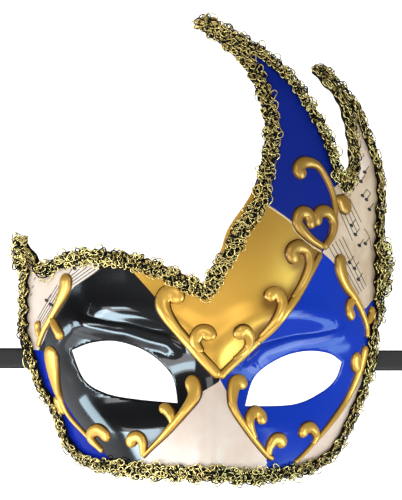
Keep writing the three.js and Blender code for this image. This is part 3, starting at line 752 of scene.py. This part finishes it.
def make_shell():
    plan, triangles, middles = shell_plan()
    used, compact = np.unique(triangles, return_inverse=True)
    plan = plan[used]
    front = compact.reshape(-1, 3)
    paints = paint_numbers(middles)
    outer, normals = on_face(plan)
    outer[:, 2] = np.maximum(outer[:, 2], 0)
    inner = outer.copy()
    inner[:, 2] = np.maximum(outer[:, 2] - WALL / np.maximum(normals[:, 2], STEEPEST), 0)
    count = len(plan)
    sides = np.vstack([front[:, [0, 1]], front[:, [1, 2]], front[:, [2, 0]]])
    pairs = {(a, b): paint for (a, b), paint in zip(sides.tolist(), np.tile(paints, 3).tolist())}
    rim = [(pair, paint) for pair, paint in pairs.items() if pair[::-1] not in pairs]
    faces = front.tolist()
    faces += (front[:, ::-1] + count).tolist()
    faces += [(a, a + count, b + count, b) for (a, b), _ in rim]
    plain = list(PAINTS).index("inside")
    slots = [*paints.tolist(), *[plain] * len(front), *[paint for _, paint in rim]]
    shell = new_piece("mask_shell", np.vstack([outer, inner]), faces, PAINTS.values(), slots)
    corner_normals = [normals[front].reshape(-1, 3), -normals[front[:, ::-1]].reshape(-1, 3)]
    for (a, b), _ in rim:
        out = np.cross(outer[b] - outer[a], normals[a] + normals[b])
        corner_normals.append(np.tile(out / np.linalg.norm(out), (4, 1)))
    shell.data.normals_split_custom_set(np.vstack(corner_normals).tolist())
    set_painted_shade(shell, np.tile(panel_painted_shade(plan), 2))
    settle(shell, "shell", "shell")


# The printed music


def strip_body(points, width):
    spine, normals = on_face(evenly(points, MARK.step))
    sideways = unit(np.cross(normals, np.gradient(spine, axis=0)))
    profile = [(-1, -MARK.sunk), (-1, MARK.lift), (1, MARK.lift), (1, -MARK.sunk)]
    rings = [spine + side * width / 2 * sideways + lift * normals for side, lift in profile]
    return sweep(np.stack(rings, axis=1)[:, ::-1])


def head_body(x, y):
    turn = np.linspace(0, 2 * math.pi, MARK.corners, endpoint=False)
    stem_x, stem_y = np.array(STEM) / math.hypot(*STEM)
    across = MARK.head[0] * np.cos(turn)
    along = MARK.head[1] * np.sin(turn)
    plan = np.column_stack([x + across * stem_y + along * stem_x, y - across * stem_x + along * stem_y])
    surface, normals = on_face(plan)
    return sweep(np.stack([surface - MARK.sunk * normals, surface + MARK.lift * normals]))


def make_music():
    bodies = [strip_body(stroke, MARK.line) for stroke in STROKES]
    for stave in STAVES:
        first = np.array(stave.first)
        last = np.array(stave.last)
        for share in np.linspace(0, 1, stave.lines):
            bodies.append(strip_body(first + share * (last - first), MARK.line))
    for x, y in NOTES:
        bodies.append(head_body(x, y))
        bodies.append(strip_body([(x, y), (x + STEM[0], y + STEM[1])], MARK.stem))
    settle(new_piece("printed_music", *gathered(bodies), [INK]), "shell")
    settle(new_piece("pale_border", *strip_body(PALE_BORDER, MARK.pale), [PALE_LINE]), "shell")


# The gold relief


def stroke_width(stroke, share):
    to_waist = ease(TAPER.root, TAPER.waist, share) * (stroke.waist - stroke.root)
    to_tip = ease(TAPER.waist, TAPER.tip, share) * (stroke.tip - stroke.waist)
    return stroke.root + to_waist + to_tip


def stroke_body(stroke):
    """A stroke's points and faces, and how clear of painted shade each point is."""
    plan = evenly(stroke.path, RELIEF.step)
    spine, normals = on_face(plan)
    distance = travelled(spine)
    width = RELIEF.fullness * stroke_width(stroke, distance / distance[-1])
    to_end = np.minimum(distance, distance[-1] - distance)
    part = np.clip(RELIEF.blunt + to_end / (width / 2), 0, 1)
    rounding = np.sqrt(part * (2 - part))
    height = np.clip(RELIEF.rise * width, RELIEF.lowest, RELIEF.tallest) * rounding
    half = width / 2 * rounding
    sideways = unit(np.cross(normals, np.gradient(spine, axis=0)))
    turn = np.linspace(-math.pi / 2, math.pi / 2, RELIEF.arc)
    skirt = half + RELIEF.skirt * rounding
    sunk = np.full(len(half), -RELIEF.sunk)
    level = np.zeros(len(half))
    dome = RELIEF.seat + height[:, None] * np.cos(turn)
    across = np.column_stack([-skirt, -skirt, half[:, None] * np.sin(turn), skirt, skirt])
    lift = np.column_stack([sunk, level, dome, level, sunk])
    rings = spine[:, None] + across[..., None] * sideways[:, None] + lift[..., None] * normals[:, None]
    # Painted shade: brown at the stroke's foot, and more of it over the strokes nearest the horns
    crest = np.concatenate([[0, 0], ease(CREST.brown, CREST.clear, np.cos(turn)), [0, 0]])
    clear = 1 - STROKE_SHADE.most * ease(STROKE_SHADE.start, STROKE_SHADE.full, plan[:, 1])
    points, faces = sweep(rings[:, ::-1])
    return points, faces, np.outer(clear, crest[::-1]).ravel()


def make_scroll(node, strokes):
    bodies = [stroke_body(stroke) for stroke in strokes]
    points, faces = gathered([body[:2] for body in bodies])
    scroll = new_piece(f"relief_{node}", points, faces, [RELIEF_GOLD])
    set_painted_shade(scroll, np.concatenate([body[2] for body in bodies]))
    settle(scroll, "gold_relief", node)


# The braid

Stations = namedtuple("Stations", "plan inward from_tip share")
Sheet = namedtuple("Sheet", "points normals half length")


def walk_in(start, inward, distance):
    """Steps in over the face, so that the band keeps its width where it is steep."""
    strides = 4
    spot = start.copy()
    for _ in range(strides):
        normals = face_normals(spot)
        slope = np.sum(normals[:, :2] * inward, axis=1) / normals[:, 2]
        spot = spot + inward * (distance / strides / np.hypot(1, slope))[:, None]
    return spot


def share_at(spread, y):
    """How much of a local change of the band applies at a height."""
    return ease(spread.start, spread.full, y) * (1 - ease(spread.fading, spread.gone, y))


def horn_inset(plan):
    on_horn = ease(HORN_INSET.left, HORN_INSET.right, plan[:, 0])
    return HORN_INSET.depth * on_horn * share_at(HORN_INSET, plan[:, 1])


def cheek_inset(plan):
    outset = np.where(plan[:, 0] < 0, CHEEK_OUTSET.left, CHEEK_OUTSET.right)
    return -outset * share_at(CHEEK_OUTSET, plan[:, 1])


def stretch_stations(name, tip_at_start, tip_at_end):
    """Edge points, inward directions, distances to the nearer tip and shares of the full width."""
    plan = evenly(EDGE[name], BRAID.step)
    distance = travelled(plan)
    to_end = distance[-1] - distance
    from_tip = np.full(len(plan), distance[-1])
    if tip_at_start:
        from_tip = np.minimum(from_tip, distance)
    if tip_at_end:
        from_tip = np.minimum(from_tip, to_end)
    share = np.ones(len(plan))
    if name == "horn_outside":
        share -= (1 - NARROW_HORN.share) * ease(0, NARROW_HORN.widens, to_end)
    if name == "lower":
        share -= (1 - NARROW_RIM.share) * share_at(NARROW_RIM, plan[:, 1])
    return Stations(clamp_to_foot(plan), right_of(plan), from_tip, share)


def across_notch(first_name, second_name):
    """Two stretches from tip to tip, turned about the notch between them."""
    first = stretch_stations(first_name, True, False)
    second = stretch_stations(second_name, False, True)
    before = math.atan2(first.inward[-1, 1], first.inward[-1, 0])
    after = math.atan2(second.inward[0, 1], second.inward[0, 0])
    turn = (after - before + math.pi) % (2 * math.pi) - math.pi
    count = max(2, round(abs(turn) * BRAID.width / 2 / BRAID.step))
    angles = before + turn * np.arange(1, count) / count
    fan = Stations(
        np.tile(first.plan[-1], (count - 1, 1)),
        np.column_stack([np.cos(angles), np.sin(angles)]),
        np.full(count - 1, first.from_tip[-1]),
        np.ones(count - 1),
    )
    return Stations(*[np.concatenate(column) for column in zip(first, fan, second)])


def braid_sheet(stations, inset):
    """The curved strip of face that a length of braid lies on, started above the table at the foot."""
    count = len(stations.plan)
    length = (count - 1) * BRAID.step
    turn = np.linspace(0, 2 * math.pi * round(length / BRAID.pitch), count)
    tapered = BRAID_TIP.width + BRAID_TIP.spread * stations.from_tip
    plain = np.minimum(BRAID.width * stations.share, tapered)
    width = plain * (1 + BRAID.scallop * np.cos(turn))
    at_foot = 1 - ease(0, BRAID.foot, face_height(stations.plan))
    outer = inset - BRAID.overhang + at_foot * (BRAID.overhang + BRAID.clear)
    outer -= (1 - at_foot) * (width - plain) / 2
    columns = []
    for share in np.linspace(0, 1, BRAID.columns):
        spot = walk_in(stations.plan, stations.inward, outer + share * width)
        columns.append(on_face(spot))
    points, normals = np.stack(columns, axis=2)
    return Sheet(points, normals, width / 2, length)


def tuft_sheet(tuft):
    """A strip that leans on the side of the mask, for the braid's loose turns."""
    plan = evenly(tuft.line, BRAID.step)
    outward = np.sign(plan[0, 0])
    normal = np.array([outward, 0, 1]) / math.sqrt(2)
    columns = []
    for share in np.linspace(-1, 1, BRAID.columns):
        x = plan[:, 0] - outward * share * tuft.half
        height = tuft.outer + (tuft.inner - tuft.outer) * (share + 1) / 2
        columns.append(np.column_stack([x, plan[:, 1], np.full(len(plan), height)]))
    points = np.stack(columns, axis=1)
    half = np.full(len(plan), float(tuft.half))
    return Sheet(points, np.broadcast_to(normal, points.shape), half, (len(plan) - 1) * BRAID.step)


def half_width(sheet, along):
    return np.interp(along, np.arange(len(sheet.half)) * BRAID.step, sheet.half)


def on_sheet(sheet, along, across, lift):
    """Points over the strip, in millimetres: along it, inward from its middle, and off the face."""
    rows, columns = sheet.points.shape[:2]
    place = along / BRAID.step
    row = np.clip(place.astype(int), 0, rows - 2)
    ahead = (place - row)[:, None]
    spread = (across / half_width(sheet, along) + 1) / 2 * (columns - 1)
    column = np.clip(spread.astype(int), 0, columns - 2)
    aside = (spread - column)[:, None]

    def mixed(grid):
        near = grid[row, column] * (1 - aside) + grid[row, column + 1] * aside
        next_row = grid[row + 1, column] * (1 - aside) + grid[row + 1, column + 1] * aside
        return near * (1 - ahead) + next_row * ahead

    normals = mixed(sheet.normals)
    full = lift * (1 + BRAID.stand_off * (1 - normals[:, 2]))
    points = mixed(sheet.points) + full[:, None] * normals
    points[:, 2] = np.maximum(points[:, 2], FLOOR_GAP + max(THREADS.values()))
    return points, normals


def tube(points, normals, radius):
    forward = unit(np.gradient(points, axis=0))
    sideways = unit(np.cross(forward, normals))
    up = np.cross(sideways, forward)
    turn = np.linspace(0, 2 * math.pi, CORD.corners, endpoint=False)[:, None]
    rings = points[:, None] + radius * (np.cos(turn) * sideways[:, None] + np.sin(turn) * up[:, None])
    return sweep(rings[:, ::-1])


def ring_path(sheet, ring, start, pitch, chance):
    """One ring of cord, a little off its place in the repeat that starts there."""
    unsteady = chance.uniform(-1, 1, 6)
    radius = ring.radius * (1 + UNSTEADY.size * unsteady[0])
    middle = start + pitch * ring.along + UNSTEADY.along * unsteady[1]
    half = half_width(sheet, middle)
    reach = max(half - CORD.margin * radius, 0)
    aside = np.clip(ring.across * half + UNSTEADY.across * unsteady[2], -reach, reach)
    begin = math.pi * unsteady[3]
    count = round(2 * math.pi * radius * CORD.turns / CORD.step)
    turn = begin + np.linspace(0, 2 * math.pi * CORD.turns, count)
    oval = UNSTEADY.oval * np.cos(2 * turn + 3 * unsteady[4])
    corners = UNSTEADY.corners * np.cos(3 * turn + 2 * begin)
    reach = radius * (1 + oval + corners)
    lift = ring.lift + UNSTEADY.lift * unsteady[5] + CORD.lean * np.sin(turn + 3 * begin)
    return on_sheet(sheet, middle + reach * np.cos(turn), aside + reach * np.sin(turn), lift)


def wave_path(sheet, wave, repeats, pitch):
    """One cord that swings along the whole strip."""
    fine = np.linspace(0, repeats, round(sheet.length * CORD.wander / CORD.step))
    turn = 2 * math.pi * (fine * wave.turns + wave.shift)
    along = pitch * fine
    half = half_width(sheet, along)
    across = wave.across * half + wave.swing * half / (BRAID.width / 2) * np.sin(turn)
    lift = wave.lift + CORD.lean * np.cos(CORD.dips * turn)
    return on_sheet(sheet, along, across, lift)


def cords_of(sheet, thread, seed):
    """All the cords of one thread along a strip."""
    chance = np.random.default_rng(seed)
    repeats = round(sheet.length / BRAID.pitch)
    pitch = sheet.length / repeats
    paths = [wave_path(sheet, wave, repeats, pitch) for wave in WAVES[thread]]
    for repeat in range(repeats):
        paths += [ring_path(sheet, ring, repeat * pitch, pitch, chance) for ring in RINGS[thread]]
    return gathered([tube(*path, THREADS[thread]) for path in paths])


def backing(sheet):
    """The dark woven strip that the cords are sewn to."""
    along = np.arange(len(sheet.points)) * BRAID.step
    rings = []
    for side, height in BACKING:
        rings.append(on_sheet(sheet, along, side * sheet.half, np.full(len(along), height))[0])
    return sweep(np.stack(rings, axis=1)[:, ::-1])


def make_braid():
    brow = across_notch("brow", "horn_inside")
    horn = across_notch("horn_outside", "hornlet")
    rim = stretch_stations("lower", True, True)
    sheets = {
        "brow": braid_sheet(brow, horn_inset(brow.plan)),
        "horn": braid_sheet(horn, 0),
        "rim": braid_sheet(rim, cheek_inset(rim.plan)),
    }
    for number, tuft in enumerate(TUFTS):
        sheets[f"tuft_{number}"] = tuft_sheet(tuft)
    for seed, (name, sheet) in enumerate(sheets.items()):
        bodies = {
            "gold": (cords_of(sheet, "gold", seed), THREAD_GOLD),
            "black": (cords_of(sheet, "black", seed), THREAD_BLACK),
            "backing": (backing(sheet), BRAID_BACKING),
        }
        for kind, (body, made) in bodies.items():
            settle(new_piece(f"braid_{name}_{kind}", *body, [made]), "braid", "edge_braid")


# The ties


def make_tie(node, side, y):
    height = "left" if side < 0 else "right"
    knots = [(side * spot.out, y, getattr(spot, height), spot.lean) for spot in TIE_ROUTE]
    route = evenly(knots, TIE_STEP)
    middle = route[:, :3]
    forward = unit(np.gradient(middle, axis=0))
    across = unit(np.column_stack([np.zeros(len(route)), np.full(len(route), side), side * route[:, 3]]))
    up = np.cross(forward, across)
    edges = np.linspace(-1, 1, TIE_COLUMNS)
    profile = [(edge, 1) for edge in edges] + [(edge, -1) for edge in edges[::-1]]
    rings = []
    for edge, face in profile:
        thickness = TIE_THICKNESS * (1 - TIE_EDGE.thinning * abs(edge) ** TIE_EDGE.sharpness)
        rings.append(middle + edge * TIE_WIDTH / 2 * across + face * thickness / 2 * up)
    points, faces = sweep(np.stack(rings, axis=1))
    tie = new_piece(f"satin_{node}", points, faces, [SATIN])
    settle(tie, "ribbon", node)


# Floor, light and camera


def make_floor():
    white = (255, 255, 255)
    made = material("floor", white, Roughness=0.9, Emission_Color=(1, 1, 1, 1), Emission_Strength=0.92)
    square = [(-1, -1, 0), (1, -1, 0), (1, 1, 0), (-1, 1, 0)]
    floor = new_piece("floor", np.array(square) * FLOOR_REACH, [(0, 1, 2, 3)], [made])
    floor.visible_glossy = False
    floor.visible_shadow = False


def make_sky():
    """A room that is bright overhead and towards the chin, with a pale wall low on the left."""
    world = bpy.data.worlds.new("room")
    world.use_nodes = True
    nodes = world.node_tree.nodes
    links = world.node_tree.links
    background = nodes["Background"]
    set_sockets(background, Color=SKY_COLOUR)
    place = nodes.new("ShaderNodeTexCoord")
    strength = background.inputs["Strength"]
    for glow in GLOWS:
        towards = nodes.new("ShaderNodeVectorMath")
        towards.operation = "DOT_PRODUCT"
        towards.inputs[1].default_value = glow.towards
        spread = nodes.new("ShaderNodeMapRange")
        set_sockets(spread, From_Min=glow.start, From_Max=glow.full, To_Max=glow.strength)
        total = nodes.new("ShaderNodeMath")
        total.inputs[1].default_value = GLOW_EVERYWHERE
        links.new(place.outputs["Generated"], towards.inputs[0])
        links.new(towards.outputs["Value"], spread.inputs["Value"])
        links.new(spread.outputs["Result"], total.inputs[0])
        links.new(total.outputs["Value"], strength)
        strength = total.inputs[1]
    bpy.context.scene.world = world


def place_at(bearing, height):
    """A lamp's spot in the room by its bearing from +X and its height above the table, in degrees."""
    level = math.cos(math.radians(height))
    across = level * math.cos(math.radians(bearing))
    along = level * math.sin(math.radians(bearing))
    return LAMP_DISTANCE * Vector((across, along, math.sin(math.radians(height))))


def make_lamp(lamp):
    light = bpy.data.lights.new(lamp.name, "AREA")
    light.shape = "RECTANGLE"
    light.size = lamp.size[0] * MM
    light.size_y = lamp.size[1] * MM
    light.energy = lamp.energy
    light.color = lamp.colour
    holder = new_object(lamp.name, light)
    place = place_at(lamp.bearing, lamp.height)
    holder.location = place * MM
    holder.rotation_euler = (Vector(LAMP_TARGET) - place).to_track_quat("-Z", "Y").to_euler()
    holder.visible_diffuse = not lamp.gloss_only


def make_camera():
    lens = bpy.data.cameras.new("camera")
    lens.sensor_fit = "VERTICAL"
    lens.sensor_height = 36
    lens.lens = lens.sensor_height * CAMERA_HEIGHT / FRAME_HEIGHT
    camera = new_object("camera", lens)
    camera.location = (0, 0, CAMERA_HEIGHT * MM)
    bpy.context.scene.camera = camera
    bpy.context.scene.view_settings.view_transform = "Standard"


make_camera()
make_floor()
make_sky()
for lamp in LAMPS:
    make_lamp(lamp)
for node, (side, y) in TIES.items():
    make_tie(node, side, y)
make_shell()
make_music()
for node, strokes in SCROLLS.items():
    make_scroll(node, strokes)
make_braid()
